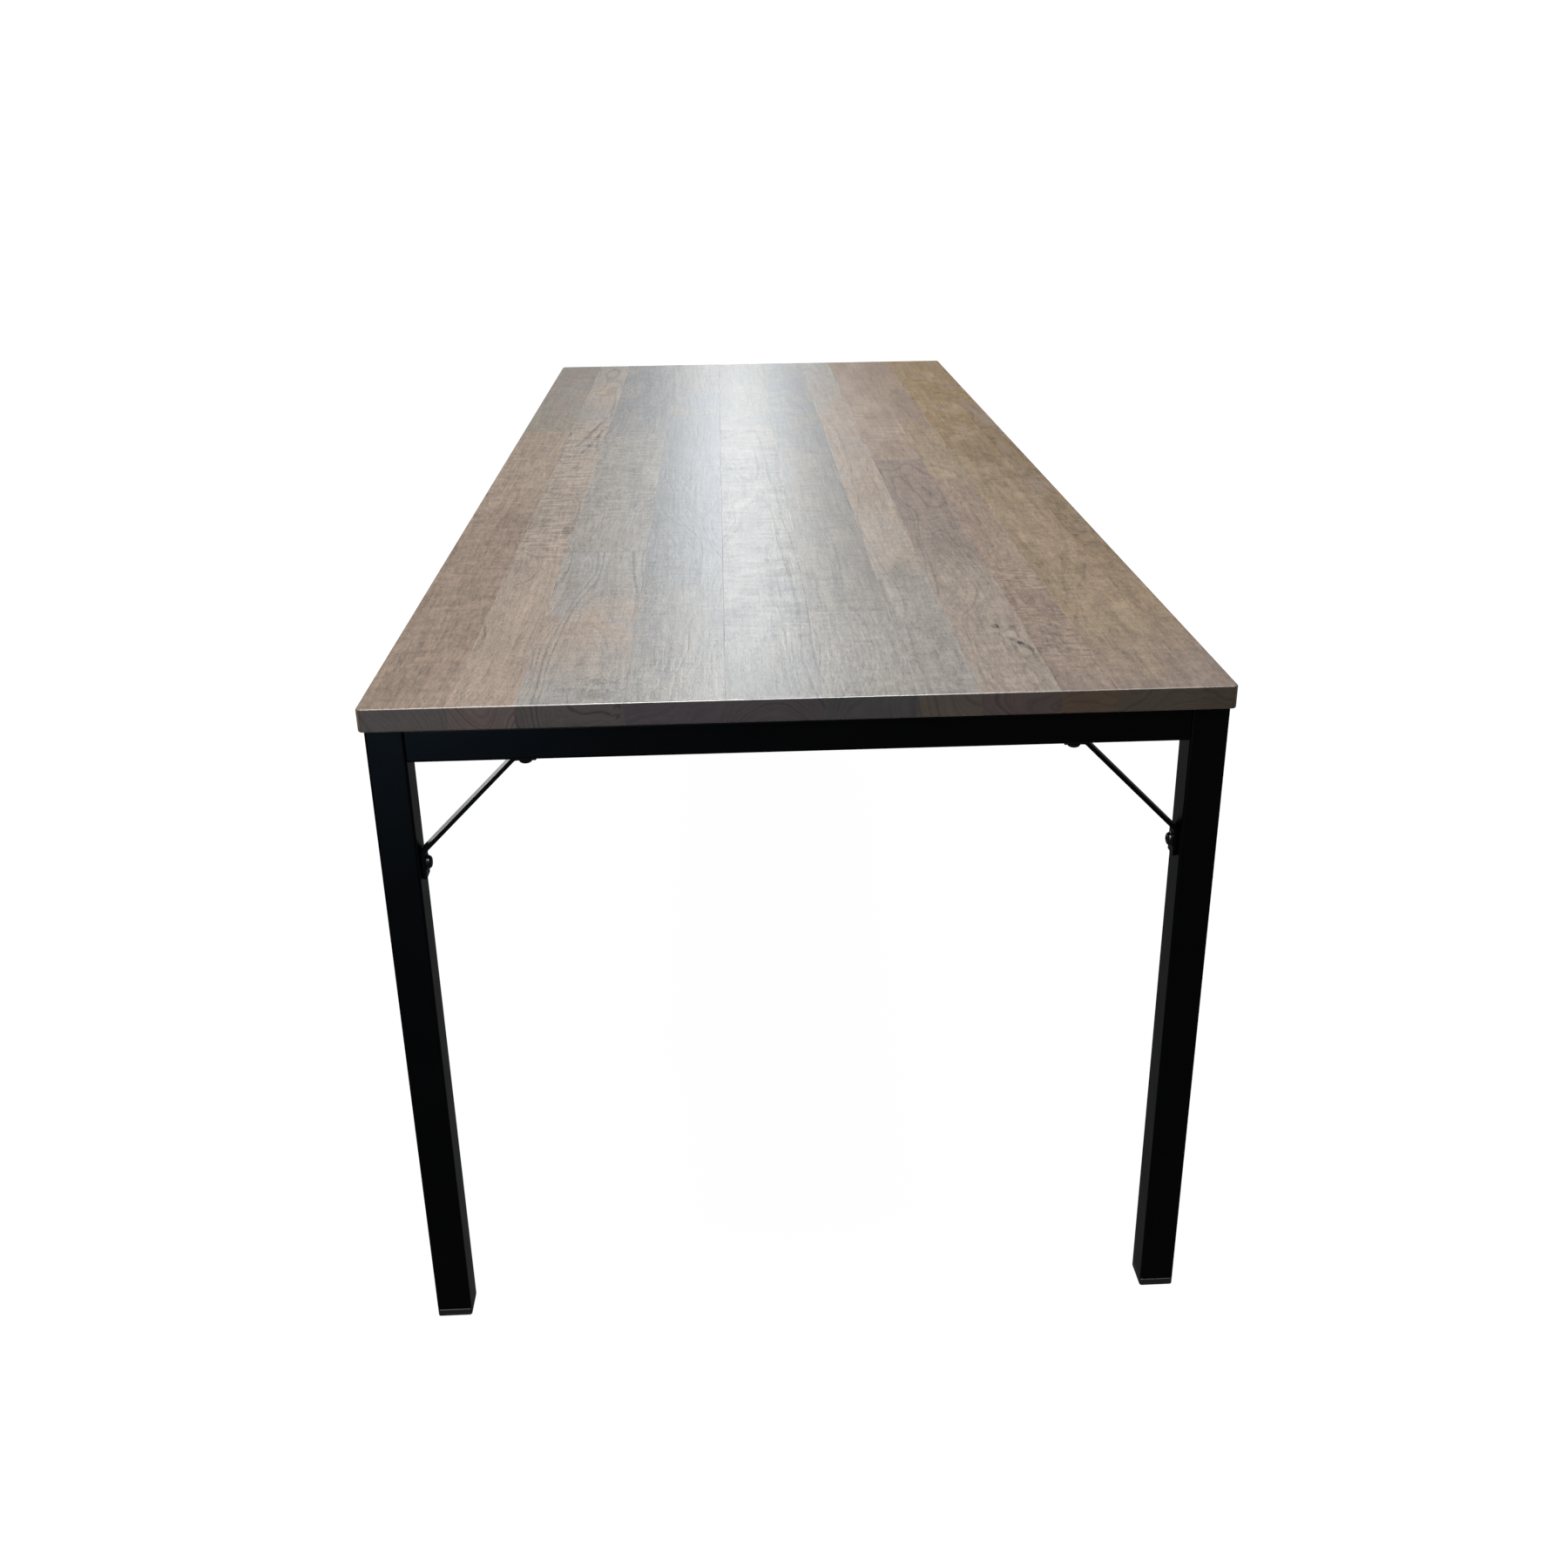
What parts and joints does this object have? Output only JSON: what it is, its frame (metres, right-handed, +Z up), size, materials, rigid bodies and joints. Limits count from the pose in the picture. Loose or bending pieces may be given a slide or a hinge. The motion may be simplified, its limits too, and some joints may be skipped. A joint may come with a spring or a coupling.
{
  "type": "butcher block table",
  "caption": "Long table with a glued-up hardwood stave top on a black square-tube steel frame, its end frames stiffened by bolted knee braces.",
  "frame": {"origin": "on the floor under the middle of the top", "axes": "+X across the table, +Y along the top away from the end that the picture was taken from, +Z up"},
  "size_m": [0.9, 2.4, 0.775],
  "materials": {
    "wood_taupe": "satin lacquer over a grey-brown stain",
    "wood_grey": "satin lacquer over a grey stain",
    "wood_umber": "satin lacquer over a dark brown stain",
    "wood_olive": "satin lacquer over an olive-brown stain",
    "black_steel": "satin black powder coat",
    "black_bolt": "black oxide, slightly oily sheen",
    "foot_plastic": "moulded black plastic",
    "zinc_screw": "zinc plated"
  },
  "bodies": {
    "root": {"apron_bolt_far_left": "black_bolt", "apron_bolt_far_right": "black_bolt", "apron_bolt_near_left": "black_bolt", "apron_bolt_near_right": "black_bolt", "brace_far_left": "black_steel", "brace_far_right": "black_steel", "brace_near_left": "black_steel", "brace_near_right": "black_steel", "far_apron": "black_steel", "far_cross_rail": "black_steel", "foot_far_left": "foot_plastic", "foot_far_right": "foot_plastic", "foot_near_left": "foot_plastic", "foot_near_right": "foot_plastic", "left_side_rail": "black_steel", "leg_bolt_far_left": "black_bolt", "leg_bolt_far_right": "black_bolt", "leg_bolt_near_left": "black_bolt", "leg_bolt_near_right": "black_bolt", "leg_far_left": "black_steel", "leg_far_right": "black_steel", "leg_near_left": "black_steel", "leg_near_right": "black_steel", "near_apron": "black_steel", "near_cross_rail": "black_steel", "right_side_rail": "black_steel", "screw_far_apron_left": "zinc_screw", "screw_far_apron_right": "zinc_screw", "screw_left_rail_far": "zinc_screw", "screw_left_rail_near": "zinc_screw", "screw_near_apron_left": "zinc_screw", "screw_near_apron_right": "zinc_screw", "screw_right_rail_far": "zinc_screw", "screw_right_rail_near": "zinc_screw", "stave_10": "wood_olive", "stave_11": "wood_umber", "stave_1_far": "wood_olive", "stave_1_near": "wood_taupe", "stave_2": "wood_taupe", "stave_3_far": "wood_olive", "stave_3_near": "wood_grey", "stave_4_far": "wood_grey", "stave_4_near": "wood_grey", "stave_5": "wood_grey", "stave_6_far": "wood_grey", "stave_6_near": "wood_grey", "stave_7_far": "wood_grey", "stave_7_near": "wood_taupe", "stave_8_far": "wood_taupe", "stave_8_near": "wood_umber", "stave_9_far": "wood_taupe", "stave_9_near": "wood_umber", "tab_far_apron_left": "black_steel", "tab_far_apron_right": "black_steel", "tab_left_rail_far": "black_steel", "tab_left_rail_near": "black_steel", "tab_near_apron_left": "black_steel", "tab_near_apron_right": "black_steel", "tab_right_rail_far": "black_steel", "tab_right_rail_near": "black_steel"}
  },
  "joints": []
}
